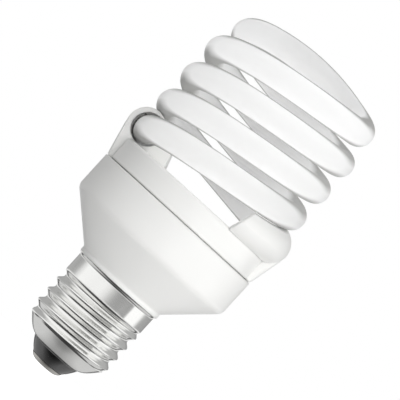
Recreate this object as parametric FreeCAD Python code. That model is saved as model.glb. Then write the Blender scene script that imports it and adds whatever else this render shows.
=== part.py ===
import FreeCAD, Part
import math
import os

# Spiral energy saving bulb: a double-helix discharge tube in a hooded holder, a snap-together
# ballast housing with its circuit inside, and a rolled screw cap.
# Millimetres. +Z runs up the lamp's axis, from the flat of the centre contact at z = 0.
# Seen from the front, along +Y, one hood stands at +X and its twin, half a turn round, at -X.

# Driving dimensions: the discharge tube
TUBE_D = 7.25                   # glass outside diameter
COIL_R = 21.7                   # radius of the helix, to the middle of the tube
COIL_PITCH = 18.7               # rise of one strand in one turn
COIL_START_ABOVE_JOINT = 11.5   # middle of the tube at the hood's mouth, above the housing joint
COIL_TURNS = 1.92               # turns of one strand before it leaves for the bridge
BRIDGE_BEND_R = 7.0             # plan radius of the bends at both ends of the bridge
BRIDGE_RISE = 5.55              # from the end of the helix to the middle of the bridge
LEG_LEAVE_ANGLE = 14.0          # where the tube leaves the helix for its leg, past the +X axis
LEG_FOOT_IN = 6.25              # where the leg stands in the housing, inside the helix
LEG_FOOT_Y = -8.6
LEG_FOOT_BELOW_JOINT = 1.5      # end of the round tube, below the housing joint
LEG_HANDLE = 9.0                # how far each end of the leg's bend keeps its direction
TIP_R = 1.0                     # exhaust tip left from pumping the tube
TIP_LENGTH = 1.2
SEAL_HEIGHT = 1.3
LEG_STEPS = 8                   # points along the leg's bend
STEPS_A_TURN = 36               # points along one turn of the helix

# Driving dimensions: the holder with its two hoods
RIM_STEP = 1.45                 # from the housing's side in to the rim's
RIM_WALL = 1.5
RIM_HEIGHT = 7.1                # top plate above the housing joint
RIM_ROUND = 1.0
RELIEF_HEIGHT = 0.3             # shadow gap round the joint, under the rim and the hoods
RELIEF_DEPTH = 0.45
PLATE_T = 1.5
SPIGOT_CLEARANCE = 0.15
SPIGOT_WALL = 1.3
SPIGOT_DEPTH = 4.4
SNAP_BEAD = 0.45
HOOD_ARCH_R = 5.25              # round of the hood over the tube
HOOD_ARCH_OUT = 0.65            # arch centre, outside the middle of the tube
HOOD_ARCH_UP = 0.25             # arch centre, above the middle of the tube
HOOD_WALL = 1.0
HOOD_MOUTH_WALL = 1.7
HOOD_MOUTH_Y = 3.0              # flat mouth face
HOOD_INNER_X = 11.3             # flat inner face, at the top plate
HOOD_INNER_LEAN = 18.0          # degrees that the inner face leans outwards
LUG_HALF_WIDTH = 3.7
LUG_ROUND = 1.0
LUG_DEPTH = 1.4                 # how deep the lug's inner side sits in the rim
LUG_BELLY = 0.35                # how far its outer side stays inside the arch, near the top
LUG_BELLY_DOWN = 2.6
MOUTH_GAP = 0.85                # between the glass and the edge of the mouth
BORE_GAP = 0.5                  # between the glass and the hood further in

# Driving dimensions: the ballast housing
HOUSING_R = 25.25
HOUSING_WALL = 1.6
HOUSING_LIP_WALL = 2.25         # the thickened lip that the holder snaps into
HOUSING_LIP_H = 3.0
HOUSING_STRAIGHT = 10.7         # height of the straight upper part
HOUSING_EDGE_ROUND = 2.8        # between the straight part and the cone
HOUSING_TOP_ROUND = 0.3
CONE_HEIGHT = 11.0
NECK_STEP = 0.6                 # from the cap's collar out to the neck ring
NECK_HEIGHT = 1.3
SLEEVE_WALL = 1.2
SLEEVE_LENGTH = 5.4             # the neck's sleeve inside the cap
SLEEVE_CLEARANCE = 0.1
SLEEVE_SLOT_W = 1.4             # slot that lets the side lead out to the cap
SLEEVE_SLOT_H = 3.8

# Driving dimensions: the E27 screw cap
CAP_SHEET = 0.35
COLLAR_R = 12.85
COLLAR_LENGTH = 5.7
COLLAR_LIP_OUT = 0.5            # the collar's upper edge is turned out under the neck ring
COLLAR_LIP_H = 0.75
THREAD_PITCH = 3.629
THREAD_CREST_R = 13.12
THREAD_ROOT_R = 11.85
THREAD_NARROWING = 1.5          # above 1 the crests are narrower than the roots
THREAD_LENGTH = 14.4
THREAD_CREST_Z = 17.7           # height of a crest on the +X side
THREAD_FADE = 1.5               # over which the thread runs out at both ends
CAP_CONE_TOP_R = 12.3
CAP_CONE_HEIGHT = 4.1
CAP_CONE_BOTTOM_R = 7.4
GLASS_BOTTOM_R = 4.85
GLASS_HEIGHT = 3.6              # the black glass that shows below the screw shell
GLASS_FILL = 2.6                # glass inside the shell, above its lower edge
GLASS_HOLE_R = 1.6
CONTACT_R = 4.95
CONTACT_H = 1.2
CONTACT_LAND_R = 2.8
CONTACT_HOLE_R = 0.9
CONTACT_BARREL_R = 1.5
CONTACT_BARREL_H = 3.0
SOLDER_TOP = 2.6

# Driving dimensions: the circuit board and what it carries
BOARD_GAP = 0.4                 # round the board, inside the housing's lip
BOARD_T = 1.4
BOARD_RIBS = 6
BOARD_RIB_W = 1.2
BOARD_SEAT = 1.2                # how far the ribs reach under the board
PIN_W = 0.8
PIN_HEIGHT = 3.2
PIN_OFFSETS = [(-5.6, -0.8), (-3.0, -5.4)]     # from the foot of the leg
WIRE_D = 0.6
WIRE_HOLE_D = 0.8
LEG_STUB = 0.8                  # legs stand out of the board's upper side by this much
STAND_OFF = 0.3                 # between the board and what hangs under it
JOINT_R = 0.95                  # foot of a solder joint
JOINT_H = 0.7
CAPACITOR_D = 8.0
CAPACITOR_LENGTH = 16.5
CAPACITOR_X = 6.0
CAPACITOR_PITCH = 3.5
CHOKE_X = -5.0
CHOKE_CORE_W = 13.0
CHOKE_CORE_D = 5.5
CHOKE_CORE_TOP = 0.4            # below the board
CHOKE_YOKE = 1.8
CHOKE_WINDOW_H = 6.8
CHOKE_LEG_W = 1.6               # outer legs of the core
CHOKE_MIDDLE_W = 3.2
BOBBIN_W = 9.4
BOBBIN_D = 10.6
BOBBIN_T = 0.7
CHOKE_PIN_X = 3.5
CHOKE_PIN_Y = 4.2
RING_INSET = 9.6                # from the board's edge in to a part's middle
RING_D = 9.5
RING_HOLE_D = 5.0
RING_H = 3.6
RING_WINDINGS = [(90, 3), (210, 3), (330, 2)]   # direction in degrees, whole turns
RING_TURN_STEP = 16.0           # degrees round the ring from one turn to the next
TRANSISTOR_D = 4.8
TRANSISTOR_H = 5.0
TRANSISTOR_FLAT = 1.3
TRANSISTOR_PITCH = 1.27
TRANSISTOR_STAND = 1.5
DIODE_D = 2.6
DIODE_LENGTH = 5.0
DIODE_XS = [-9.5, -6.0, -2.5, 1.0]
DIODE_INSET = 9.1
RESISTOR_D = 2.2
RESISTOR_LENGTH = 6.0
RESISTOR_INSETS = [9.4, 6.4]
FUSE_D = 3.0
FUSE_LENGTH = 6.4
FUSE_INSET = 7.1
TRIGGER_D = 1.9
TRIGGER_LENGTH = 3.8
TRIGGER_INSET = 5.3
TRIGGER_ANGLE = -33.0
TRANSISTOR_INSET = 6.0
TRANSISTOR_ANGLES = (213.0, -57.0)
LEG_REACH = 1.3                 # from the end of a lying body to its leg
FILM_W = 6.2
FILM_D = 3.4
FILM_H = 5.5
FILM_INSET = 5.15
FILM_ANGLE = 40.0
FILM_PITCH = 5.0
CEMENT_WALL = 1.9
CEMENT_DEPTH = 3.0
CONTACT_LEAD_SPOT = (2.0, -7.2)
SIDE_LEAD_ANGLE = 189.3
SIDE_LEAD_INSET = 4.1

# Radii and levels that follow from the sizes above
RIM_R = HOUSING_R - RIM_STEP
HOUSING_LIP_R = HOUSING_R - HOUSING_LIP_WALL
NECK_R = COLLAR_R + NECK_STEP
SLEEVE_R = COLLAR_R - CAP_SHEET - SLEEVE_CLEARANCE
NECK_BORE_R = SLEEVE_R - SLEEVE_WALL
BOARD_R = HOUSING_LIP_R - BOARD_GAP
BOARD_RIB_R = BOARD_R - BOARD_SEAT
LEG_FOOT_X = COIL_R - LEG_FOOT_IN
PIN_SPOTS = [(LEG_FOOT_X + x, LEG_FOOT_Y + y) for x, y in PIN_OFFSETS]
GLASS_TOP = CONTACT_H + GLASS_HEIGHT
CONE_TOP = GLASS_TOP + CAP_CONE_HEIGHT
THREAD_TOP = CONE_TOP + THREAD_LENGTH
CAP_TOP = THREAD_TOP + COLLAR_LENGTH
NECK_TOP = CAP_TOP + NECK_HEIGHT
HOUSING_CONE_TOP = NECK_TOP + CONE_HEIGHT
JOINT = HOUSING_CONE_TOP + HOUSING_STRAIGHT
PLATE_TOP = JOINT + RIM_HEIGHT
COIL_START = JOINT + COIL_START_ABOVE_JOINT
LEG_FOOT = JOINT - LEG_FOOT_BELOW_JOINT
BOARD_TOP = JOINT - SPIGOT_DEPTH
BOARD_BOTTOM = BOARD_TOP - BOARD_T
TUBE_R = TUBE_D / 2

X_AXIS = FreeCAD.Vector(1, 0, 0)
Y_AXIS = FreeCAD.Vector(0, 1, 0)
Z_AXIS = FreeCAD.Vector(0, 0, 1)
ORIGIN = FreeCAD.Vector(0, 0, 0)


def point(x, y, z):
    return FreeCAD.Vector(x, y, z)


def save(shape, name):
    shape.exportStep("parts/" + name + ".step")
    box = shape.BoundBox
    print(name, "solids", len(shape.Solids), "valid", shape.isValid(), "volume", round(shape.Volume, 1),
          "z", round(box.ZMin, 2), round(box.ZMax, 2))


def half_turn(shape):
    """The same piece, half a turn round the lamp's axis."""
    twin = shape.copy()
    twin.rotate(ORIGIN, Z_AXIS, 180)
    return twin


def revolve(corners):
    """A solid of revolution from (radius, z) corners; a corner may be an arc's (mid, end) pair."""
    edges = []
    here = corners[0]
    for corner in corners[1:] + [corners[0]]:
        if isinstance(corner[0], tuple):
            middle, there = corner
            arc = Part.Arc(point(here[0], 0, here[1]), point(middle[0], 0, middle[1]),
                           point(there[0], 0, there[1]))
            edges.append(arc.toShape())
        else:
            there = corner
            edges.append(Part.makeLine(point(here[0], 0, here[1]), point(there[0], 0, there[1])))
        here = there
    return Part.Face(Part.Wire(edges)).revolve(ORIGIN, Z_AXIS, 360)


def ring(outer_r, inner_r, bottom, top):
    """A plain tube on the lamp's axis."""
    outside = Part.makeCylinder(outer_r, top - bottom, point(0, 0, bottom))
    return outside.cut(Part.makeCylinder(inner_r, top - bottom + 2, point(0, 0, bottom - 1)))


def smooth_curve(points):
    curve = Part.BSplineCurve()
    curve.interpolate(points)
    return curve


def sweep_round(curve, radius, spans):
    """A round bar along a smooth curve, swept span by span so that it stays true to size."""
    first = curve.FirstParameter
    step = (curve.LastParameter - first) / spans
    edges = []
    for i in range(spans):
        span = curve.copy()
        span.segment(first + step * i, first + step * (i + 1))
        edges.append(span.toShape())
    section = Part.Wire([Part.makeCircle(radius, curve.value(first), curve.tangent(first)[0])])
    return Part.Wire(edges).makePipeShell([section], True, False)


# Path of the discharge tube. One strand: a bend up out of the housing, the helix, a bend in
# towards the axis and half of the straight bridge. The other strand is its twin.

def on_helix(angle):
    turn = math.radians(angle)
    return point(COIL_R * math.cos(turn), COIL_R * math.sin(turn), COIL_START + COIL_PITCH * angle / 360)


def helix_heading(angle):
    turn = math.radians(angle)
    rise = COIL_PITCH / (2 * math.pi)
    return point(-COIL_R * math.sin(turn), COIL_R * math.cos(turn), rise).normalize()


def leg_bend():
    """The bend from the leg, straight up in the housing, to the helix."""
    foot = point(LEG_FOOT_X, LEG_FOOT_Y, LEG_FOOT)
    top = on_helix(LEG_LEAVE_ANGLE)
    bend = Part.BezierCurve()
    bend.setPoles([foot, foot + Z_AXIS * LEG_HANDLE, top - helix_heading(LEG_LEAVE_ANGLE) * LEG_HANDLE, top])
    return bend


def bridge_points():
    """Points of the bend and the half bridge, from the end of the helix to the lamp's axis."""
    leave = COIL_TURNS * 360
    centre_r = COIL_R - BRIDGE_BEND_R
    half_bar = math.sqrt(centre_r ** 2 - BRIDGE_BEND_R ** 2)
    lead = math.degrees(math.asin(BRIDGE_BEND_R / centre_r))
    centre = point(centre_r * math.cos(math.radians(leave)), centre_r * math.sin(math.radians(leave)), 0)
    turn = 90 + lead
    bend_length = BRIDGE_BEND_R * math.radians(turn)
    length = bend_length + half_bar
    start = on_helix(leave)
    start_slope = helix_heading(leave).z
    count = int(length / (COIL_R * 2 * math.pi / STEPS_A_TURN) * 1.5)
    points = []
    for i in range(1, count + 1):
        run = length * i / count
        if run < bend_length:
            angle = math.radians(leave) + run / BRIDGE_BEND_R
            place = centre + point(math.cos(angle), math.sin(angle), 0) * BRIDGE_BEND_R
        else:
            angle = math.radians(leave + turn)
            bend_end = centre + point(math.cos(angle), math.sin(angle), 0) * BRIDGE_BEND_R
            place = bend_end * (1 - (run - bend_length) / half_bar)
        share = run / length
        ease = share ** 1.5 * (2.5 - 1.5 * share)
        slope = start_slope * length * share * (1 - share) ** 2
        points.append(point(place.x, place.y, start.z + slope + BRIDGE_RISE * ease))
    return points


def strand_start(last_angle):
    """Points up the leg and along the first part of the helix."""
    bend = leg_bend()
    points = [bend.value(i / LEG_STEPS) for i in range(LEG_STEPS)]
    count = int((last_angle - LEG_LEAVE_ANGLE) * STEPS_A_TURN / 360)
    step = (last_angle - LEG_LEAVE_ANGLE) / count
    return points + [on_helix(LEG_LEAVE_ANGLE + step * i) for i in range(count + 1)]


def spiral_tube():
    """Fluorescent-coated glass: one sealed tube, with a pumping tip at each end."""
    points = strand_start(COIL_TURNS * 360) + bridge_points()
    points += [point(-p.x, -p.y, p.z) for p in reversed(points[:-1])]
    curve = smooth_curve(points)
    glass = sweep_round(curve, TUBE_R, 24)
    print("tube length", round(curve.length(), 1), "volume / (section x length)",
          round(glass.Volume / (math.pi * TUBE_R ** 2 * curve.length()), 4))
    seal = revolve([(0, 0), (TUBE_R, 0), ((TUBE_R * 0.8, -SEAL_HEIGHT * 0.7), (TIP_R, -SEAL_HEIGHT)),
                    (TIP_R, -SEAL_HEIGHT - TIP_LENGTH), (0, -SEAL_HEIGHT - TIP_LENGTH)])
    foot_heading = FreeCAD.Rotation(Z_AXIS, curve.tangent(curve.FirstParameter)[0])
    seal.Placement = FreeCAD.Placement(point(LEG_FOOT_X, LEG_FOOT_Y, LEG_FOOT), foot_heading)
    return glass.fuse(seal).fuse(half_turn(seal))


# Holder: a moulded cup with a snap spigot, a top plate and two hoods over the tube's ends.

def hood_section(wall, bottom):
    """Outline of a hood across the tube, at the +X axis, with its wall taken off."""
    centre_r = COIL_R + HOOD_ARCH_OUT
    centre_z = COIL_START + HOOD_ARCH_UP
    radius = HOOD_ARCH_R - wall
    inner_x = HOOD_INNER_X - 4
    lean = math.tan(math.radians(30))
    shoulder = point(inner_x, 0, centre_z + radius - (centre_r - inner_x) * lean * 0.5)
    edges = [
        Part.makeLine(point(inner_x, 0, bottom), shoulder),
        Part.makeLine(shoulder, point(centre_r, 0, centre_z + radius)),
        Part.Arc(point(centre_r, 0, centre_z + radius),
                 point(centre_r + radius * math.sqrt(0.5), 0, centre_z + radius * math.sqrt(0.5)),
                 point(centre_r + radius, 0, centre_z)).toShape(),
        Part.makeLine(point(centre_r + radius, 0, centre_z), point(centre_r + radius, 0, bottom)),
        Part.makeLine(point(centre_r + radius, 0, bottom), point(inner_x, 0, bottom)),
    ]
    return Part.Wire(edges)


def hood_roof(wall, first, last, bottom):
    """The hood's section carried along the helix, so that its top follows the tube's rise."""
    guide_length = COIL_PITCH * (last - first) / 360
    helix = Part.makeHelix(COIL_PITCH, guide_length, COIL_R)
    helix.translate(point(0, 0, on_helix(first).z))
    helix.rotate(ORIGIN, Z_AXIS, first)
    section = hood_section(wall, bottom)
    section.translate(point(0, 0, on_helix(first).z - COIL_START))
    section.rotate(ORIGIN, Z_AXIS, first)
    maker = Part.BRepOffsetAPI.MakePipeShell(Part.Wire(helix.Edges))
    maker.setBiNormalMode(Z_AXIS)
    maker.add(section)
    maker.build()
    maker.makeSolid()
    return maker.shape()


def hood_block(wall):
    """One hood as a closed block; with a wall, the space inside it."""
    roof = hood_roof(wall, -75, 25, JOINT - 10)
    rim_edge = point(RIM_R - wall, 0, PLATE_TOP - 0.5)
    flare_top = point(COIL_R + HOOD_ARCH_OUT + HOOD_ARCH_R - wall + 0.05, 0, COIL_START + HOOD_ARCH_UP + 0.3)
    out = flare_top.x - rim_edge.x
    up = flare_top.z - rim_edge.z
    flare_r = (out ** 2 + up ** 2) / (2 * out)
    half = math.asin(up / flare_r) / 2
    flare_mid = flare_top + point(flare_r * (math.cos(half) - 1), 0, -flare_r * math.sin(half))
    bottom = PLATE_TOP - 0.5 if wall == 0 else PLATE_TOP - PLATE_T - 1
    top = PLATE_TOP + 14
    edges = [
        Part.makeLine(point(0, 0, bottom), point(rim_edge.x, 0, bottom)),
        Part.Arc(rim_edge, flare_mid, flare_top).toShape(),
        Part.makeLine(flare_top, point(flare_top.x, 0, top)),
        Part.makeLine(point(flare_top.x, 0, top), point(0, 0, top)),
        Part.makeLine(point(0, 0, top), point(0, 0, bottom)),
    ]
    if wall > 0:
        edges.insert(1, Part.makeLine(point(rim_edge.x, 0, bottom), rim_edge))
    flare = Part.Face(Part.Wire(edges)).revolve(ORIGIN, Z_AXIS, 360)
    mouth_wall = HOOD_MOUTH_WALL if wall > 0 else 0
    depth = RIM_R + 6
    side = Part.makeBox(RIM_R, depth + HOOD_MOUTH_Y - mouth_wall, top - bottom,
                        point(HOOD_INNER_X + wall, -depth, bottom))
    lean = Part.makeBox(RIM_R, 3 * depth, 4 * top, point(0, -1.5 * depth, -2 * top))
    lean.rotate(ORIGIN, Y_AXIS, HOOD_INNER_LEAN)
    lean.translate(point(HOOD_INNER_X + wall, 0, PLATE_TOP))
    return roof.common(flare).common(side).common(lean)


def lug_section(outer_r, z):
    """Plan of the lug: square inside the rim, with rounded outer corners."""
    width = LUG_HALF_WIDTH
    corner = math.sqrt(outer_r ** 2 - width ** 2)
    inner = RIM_R - LUG_DEPTH
    turn = LUG_ROUND * (1 - math.sqrt(0.5))
    low = [point(corner - LUG_ROUND, -width, z), point(corner - turn, -width + turn, z),
           point(corner, -width + LUG_ROUND, z)]
    high = [point(p.x, -p.y, z) for p in reversed(low)]
    return Part.Wire([
        Part.makeLine(point(inner, -width, z), low[0]), Part.Arc(*low).toShape(),
        Part.Arc(low[2], point(outer_r, 0, z), high[0]).toShape(), Part.Arc(*high).toShape(),
        Part.makeLine(high[2], point(inner, width, z)),
        Part.makeLine(point(inner, width, z), point(inner, -width, z))])


def lug():
    """The post beside the mouth that carries the hood down to the housing joint."""
    centre_z = COIL_START + HOOD_ARCH_UP
    reach = COIL_R + HOOD_ARCH_OUT + HOOD_ARCH_R
    bottom = JOINT + RELIEF_HEIGHT
    stations = [(HOUSING_R - 0.05, bottom), (reach - LUG_BELLY, centre_z - LUG_BELLY_DOWN), (reach, centre_z)]
    post = Part.makeLoft([lug_section(outer_r, z) for outer_r, z in stations], True, True)
    foot_half = LUG_HALF_WIDTH - RELIEF_DEPTH
    foot = Part.makeBox(RIM_R, 2 * foot_half, 2 * RELIEF_HEIGHT, point(RIM_R - LUG_DEPTH, -foot_half, JOINT))
    foot = foot.common(Part.makeCylinder(HOUSING_R - RELIEF_DEPTH, 2 * RELIEF_HEIGHT, point(0, 0, JOINT)))
    post = post.fuse(foot)
    side = Part.makeBox(2 * RIM_R, 4 * RIM_R, 2 * centre_z, point(0, HOOD_MOUTH_Y - 4 * RIM_R, 0))
    return post.common(side)


def tube_holder():
    """White moulded holder: rim, plate, spigot with a snap bead, and the two hoods."""
    rim_inner = RIM_R - RIM_WALL
    spigot_r = HOUSING_LIP_R - SPIGOT_CLEARANCE
    spigot_inner = spigot_r - SPIGOT_WALL
    foot = JOINT - SPIGOT_DEPTH
    bead_z = JOINT - HOUSING_LIP_H - 0.6
    turn = RIM_ROUND * (1 - math.sqrt(0.5))
    cup = revolve([
        (0, PLATE_TOP), (RIM_R - RIM_ROUND, PLATE_TOP),
        ((RIM_R - turn, PLATE_TOP - turn), (RIM_R, PLATE_TOP - RIM_ROUND)),
        (RIM_R, JOINT + RELIEF_HEIGHT), (RIM_R - RELIEF_DEPTH, JOINT + RELIEF_HEIGHT),
        (RIM_R - RELIEF_DEPTH, JOINT), (spigot_r, JOINT), (spigot_r, bead_z + 0.5),
        (spigot_r + SNAP_BEAD, bead_z),
        (spigot_r, foot), (spigot_inner, foot), (spigot_inner, JOINT + 0.6), (rim_inner, JOINT + 1.5),
        (rim_inner, PLATE_TOP - PLATE_T), (0, PLATE_TOP - PLATE_T)])
    hood = hood_block(0).cut(hood_block(HOOD_WALL))
    post = lug()
    arm = hood.fuse(post)
    holder = cup.fuse(arm).fuse(half_turn(arm))
    outside = LEG_LEAVE_ANGLE + 30
    bore = sweep_round(smooth_curve(strand_start(outside)), TUBE_R + BORE_GAP, 4)
    mouth = smooth_curve([on_helix(angle) for angle in range(4, int(outside), 5)])
    cutter = bore.fuse(sweep_round(mouth, TUBE_R + MOUTH_GAP, 2))
    holder = holder.cut(cutter).cut(half_turn(cutter))
    return holder.removeSplitter()


def tube_cement(glass):
    """White silicone that holds one leg under the top plate."""
    plate_bottom = PLATE_TOP - PLATE_T
    bend = leg_bend()
    middle = min((bend.value(i / 50) for i in range(51)), key=lambda p: abs(p.z - plate_bottom + 1.5))
    plug = Part.makeCylinder(TUBE_R + CEMENT_WALL, CEMENT_DEPTH,
                             point(middle.x, middle.y, plate_bottom - CEMENT_DEPTH))
    plug = plug.common(Part.makeCylinder(RIM_R - RIM_WALL, CEMENT_DEPTH,
                                         point(0, 0, plate_bottom - CEMENT_DEPTH)))
    return plug.cut(glass)


# Ballast housing: a moulded funnel whose neck sits on the cap, with a snap lip round its top.

def housing_outline():
    """Outside of the housing, from its top edge down to the neck, as revolve corners."""
    slope = math.atan2(CONE_HEIGHT, HOUSING_R - NECK_R)
    back = HOUSING_EDGE_ROUND * math.tan((math.pi / 2 - slope) / 2)
    reach = math.hypot(HOUSING_EDGE_ROUND, back)
    inwards = (reach - HOUSING_EDGE_ROUND) / reach
    top_turn = HOUSING_TOP_ROUND * (1 - math.sqrt(0.5))
    middle = (HOUSING_R - HOUSING_EDGE_ROUND * inwards, HOUSING_CONE_TOP + back * inwards)
    below = (HOUSING_R - back * math.cos(slope), HOUSING_CONE_TOP - back * math.sin(slope))
    return [(HOUSING_R - HOUSING_TOP_ROUND, JOINT),
            ((HOUSING_R - top_turn, JOINT - top_turn), (HOUSING_R, JOINT - HOUSING_TOP_ROUND)),
            (HOUSING_R, HOUSING_CONE_TOP + back), (middle, below),
            (NECK_R, NECK_TOP), (NECK_R, CAP_TOP)]


def ballast_housing():
    """White moulded lower housing, with six ribs that carry the circuit board."""
    sleeve_bottom = CAP_TOP - SLEEVE_LENGTH
    inner_r = HOUSING_R - HOUSING_WALL
    slope = (HOUSING_R - NECK_R) / CONE_HEIGHT
    across = HOUSING_WALL * math.sqrt(1 + slope ** 2)
    cone_in_top = HOUSING_CONE_TOP + (across - HOUSING_WALL) / slope
    cone_in_bottom = NECK_TOP + (NECK_BORE_R + across - NECK_R) / slope
    outline = housing_outline()
    body = revolve([(HOUSING_LIP_R, JOINT)] + outline + [
        (SLEEVE_R, CAP_TOP), (SLEEVE_R, sleeve_bottom), (NECK_BORE_R, sleeve_bottom),
        (NECK_BORE_R, cone_in_bottom), (inner_r, cone_in_top), (inner_r, JOINT - HOUSING_LIP_H),
        (HOUSING_LIP_R, JOINT - HOUSING_LIP_H)])
    filled = revolve([(0, JOINT)] + outline + [(0, CAP_TOP)])
    for i in range(BOARD_RIBS):
        rib = Part.makeBox(HOUSING_R - BOARD_RIB_R - 0.6, BOARD_RIB_W, BOARD_BOTTOM - HOUSING_CONE_TOP + 3,
                           point(BOARD_RIB_R, -BOARD_RIB_W / 2, HOUSING_CONE_TOP - 3))
        rib.rotate(ORIGIN, Z_AXIS, 360 * (i + 0.5) / BOARD_RIBS)
        body = body.fuse(rib.common(filled))
    slot = Part.makeBox(4, SLEEVE_SLOT_W, SLEEVE_SLOT_H + 1,
                        point(NECK_BORE_R - 1, -SLEEVE_SLOT_W / 2, sleeve_bottom - 1))
    slot.rotate(ORIGIN, Z_AXIS, SIDE_LEAD_ANGLE)
    return body.cut(slot).removeSplitter()


# Screw cap: a rolled aluminium shell, black glass and the centre contact.

ROUND_POLES = 24                # control points round one turn of the rolled shell
ROWS_A_PITCH = 10


def rolled_band(rows, flat=False):
    """A closed band from rows of (radius at an angle, z); rows shared by two bands meet exactly."""
    shrink = (2 + math.cos(2 * math.pi / ROUND_POLES)) / 3
    poles = []
    for i in range(ROUND_POLES):
        turn = 2 * math.pi * i / ROUND_POLES
        poles.append([point(radius(turn) / shrink * math.cos(turn), radius(turn) / shrink * math.sin(turn), z)
                      for radius, z in rows])
    degree = 1 if flat else 3
    inner_knots = len(rows) - degree - 1
    band = Part.BSplineSurface()
    band.buildFromPolesMultsKnots(
        poles, [1] * (ROUND_POLES + 1), [degree + 1] + [1] * inner_knots + [degree + 1],
        list(range(ROUND_POLES + 1)), list(range(inner_knots + 2)), True, False, 3, degree)
    return band.toShape()


def plain(radius):
    return lambda turn: radius


def thread_radius(z, inset):
    """Radius of the rolled wall at a height: collar, thread and lower edge."""
    middle = (THREAD_CREST_R + THREAD_ROOT_R) / 2
    depth = (THREAD_CREST_R - THREAD_ROOT_R) * 1.06
    up = min(max((z - CONE_TOP) / THREAD_FADE, 0), 1)
    down = min(max((THREAD_TOP - z) / THREAD_FADE, 0), 1)
    up = up * up * (3 - 2 * up)
    down = down * down * (3 - 2 * down)
    base = middle + (CAP_CONE_TOP_R - middle) * (1 - up) + (COLLAR_R - middle) * (1 - down)
    crest = 2 * math.pi * (z - THREAD_CREST_Z) / THREAD_PITCH

    def radius(turn):
        swell = ((1 + math.cos(crest - turn)) / 2) ** THREAD_NARROWING
        return base - inset + depth * up * down * (swell - 0.5)

    return radius


def screw_shell():
    """Rolled aluminium sheet, nickel plated: collar, screw thread and turned-in lower edge."""
    count = round(THREAD_LENGTH / THREAD_PITCH * ROWS_A_PITCH)
    heights = [CONE_TOP + THREAD_LENGTH * i / count for i in range(count + 1)]
    heights += [THREAD_TOP + COLLAR_LENGTH * share for share in (0.06, 0.15, 0.4, 0.7)]
    outside = [(thread_radius(z, 0), z) for z in heights]
    inside = [(thread_radius(z, CAP_SHEET), z) for z in heights]
    for out, up in ((0, -0.35), (0, 0), (0.35, 0.3), (1, 0.7), (1, 1)):
        lip_r = COLLAR_R + COLLAR_LIP_OUT * out
        z = CAP_TOP - COLLAR_LIP_H * (1 - up)
        outside.append((plain(lip_r), z))
        inside.append((plain(lip_r - CAP_SHEET), z))
    span = CAP_CONE_TOP_R - CAP_CONE_BOTTOM_R
    lower = [(CAP_CONE_BOTTOM_R + span * out, GLASS_TOP + CAP_CONE_HEIGHT * up)
             for out, up in ((0, 0), (0.25, 0.10), (0.55, 0.38), (0.80, 0.72))]
    outer_edge = [(plain(r), z) for r, z in lower] + [outside[0]]
    inner_edge = [(plain(max(r - CAP_SHEET * 0.9, CAP_CONE_BOTTOM_R)), z + CAP_SHEET) for r, z in lower[:3]]
    inner_edge += [(plain(lower[3][0] - CAP_SHEET), lower[3][1] + CAP_SHEET * 0.6), inside[0]]
    bands = [rolled_band(outside), rolled_band(inside), rolled_band(outer_edge), rolled_band(inner_edge),
             rolled_band([outside[-1], inside[-1]], True), rolled_band([outer_edge[0], inner_edge[0]], True)]
    skin = Part.makeCompound(bands)
    skin.sewShape()
    return Part.makeSolid(skin.Shells[0])


def cap_insulator(metal):
    """Black glass, cast into the lower edge of the shell."""
    glass_r = CAP_CONE_BOTTOM_R - 0.02
    fill_r = CAP_CONE_TOP_R - 1.7
    block = revolve([
        (GLASS_HOLE_R, CONTACT_H), (GLASS_BOTTOM_R, CONTACT_H),
        (((GLASS_BOTTOM_R + glass_r) / 2 + 0.12, CONTACT_H + GLASS_HEIGHT * 0.46), (glass_r, GLASS_TOP - 0.25)),
        (glass_r, GLASS_TOP + 0.2),
        (fill_r, GLASS_TOP + 0.2), (fill_r, GLASS_TOP + GLASS_FILL), (GLASS_HOLE_R, GLASS_TOP + GLASS_FILL)])
    return max(block.cut(metal).Solids, key=lambda piece: piece.Volume)


def centre_contact():
    """Brass contact plate with its barrel up into the glass."""
    return revolve([
        (CONTACT_HOLE_R, 0), (CONTACT_LAND_R, 0), ((4.15, 0.36), (CONTACT_R, CONTACT_H)),
        (CONTACT_BARREL_R, CONTACT_H), (CONTACT_BARREL_R, CONTACT_BARREL_H),
        (CONTACT_HOLE_R, CONTACT_BARREL_H)])


def contact_solder():
    """Tin solder that fills the contact's hole round the lead."""
    wire_r = WIRE_D / 2
    return revolve([
        (0, 0), (CONTACT_HOLE_R, 0), (CONTACT_HOLE_R, SOLDER_TOP), (wire_r, SOLDER_TOP), (wire_r, 0.5),
        (0, 0.5)])


# Circuit board and what hangs under it.

def board_spot(angle, inset):
    """A place on the board, by its direction and its distance in from the edge."""
    turn = math.radians(angle)
    return (BOARD_R - inset) * math.cos(turn), (BOARD_R - inset) * math.sin(turn)


def leg(x, y, bottom):
    """A round wire leg, up through the board."""
    return Part.makeCylinder(WIRE_D / 2, BOARD_TOP + LEG_STUB - bottom, point(x, y, bottom))


def bent_wire(corners, bend_r):
    """A wire through the given corners, with a round bend at each one."""
    edges = []
    here = corners[0]
    for before, corner, after in zip(corners, corners[1:], corners[2:]):
        into = (corner - before).normalize()
        out = (after - corner).normalize()
        half = into.getAngle(out) / 2
        start = corner - into * bend_r * math.tan(half)
        end = corner + out * bend_r * math.tan(half)
        middle = corner + (out - into).normalize() * (bend_r / math.cos(half) - bend_r)
        edges.append(Part.makeLine(here, start))
        edges.append(Part.Arc(start, middle, end).toShape())
        here = end
    edges.append(Part.makeLine(here, corners[-1]))
    section = Part.Wire([Part.makeCircle(WIRE_D / 2, corners[0], corners[1] - corners[0])])
    return Part.Wire(edges).makePipeShell([section], True, False)


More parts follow.
